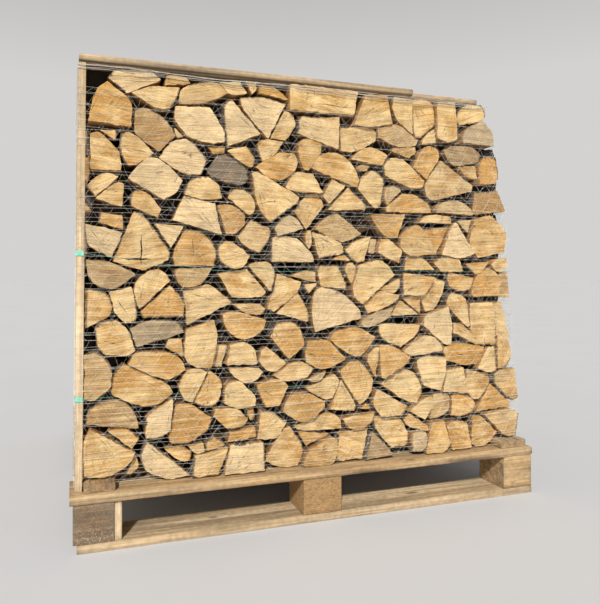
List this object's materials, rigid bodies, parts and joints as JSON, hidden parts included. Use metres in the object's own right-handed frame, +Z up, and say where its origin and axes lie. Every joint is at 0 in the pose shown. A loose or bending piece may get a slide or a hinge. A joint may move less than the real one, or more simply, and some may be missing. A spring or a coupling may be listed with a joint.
{
  "type": "pallet of firewood",
  "caption": "Split firewood logs stacked crosswise in rows on a low four-way pallet of boards and blocks, with loose planks on top, corner posts and a stretched net.",
  "frame": {"origin": "centre of the pallet's footprint, on the ground", "axes": "+Z up; -Y is the front, where the log ends face; +X is to the right seen from the front, along the lead board"},
  "size_m": [1.2, 1, 1.071],
  "materials": {
    "pallet_board": "sawn softwood, slightly weathered",
    "pallet_block": "sawn end grain and saw-marked sides",
    "chip_block": "pressed wood chips",
    "log": "split and sawn hardwood with bark on the round side",
    "log_row": "split and sawn hardwood with bark on the round side",
    "net": "knitted flat yarn"
  },
  "bodies": {
    "root": {"bottom_board_front": "pallet_board", "bottom_board_middle": "pallet_board", "bottom_board_back": "pallet_board", "block_front_left": "pallet_block", "block_front_middle": "chip_block", "block_front_right": "pallet_block", "block_middle_left": "pallet_block", "block_middle_middle": "chip_block", "block_middle_right": "pallet_block", "block_back_left": "pallet_block", "block_back_middle": "chip_block", "block_back_right": "pallet_block", "side_strip": "pallet_board", "lead_board_front": "pallet_board", "deck_board_front": "pallet_board", "deck_board_middle": "pallet_board", "deck_board_back": "pallet_board", "lead_board_back": "pallet_board", "rail_left": "pallet_board", "rail_right": "pallet_board", "post_front": "pallet_board", "post_back": "pallet_board", "plank_front_left": "pallet_board", "plank_front_right": "pallet_board", "plank_middle": "pallet_board", "plank_back": "pallet_board", "logs_front_row": "log_row", "logs_middle_row": "log_row", "logs_back_row": "log_row", "log_front_01": "log", "log_front_02": "log", "log_front_03": "log", "log_front_04": "log", "log_front_05": "log", "log_front_06": "log", "log_front_07": "log", "log_front_08": "log", "log_front_09": "log", "log_front_10": "log", "log_front_11": "log", "log_front_12": "log", "log_front_13": "log", "log_front_14": "log", "log_front_15": "log", "log_front_16": "log", "log_back_01": "log", "log_back_02": "log", "log_back_03": "log", "log_back_04": "log", "log_back_05": "log", "log_back_06": "log", "log_back_07": "log", "log_back_08": "log", "log_back_09": "log", "log_back_10": "log", "net": "net"}
  },
  "joints": []
}
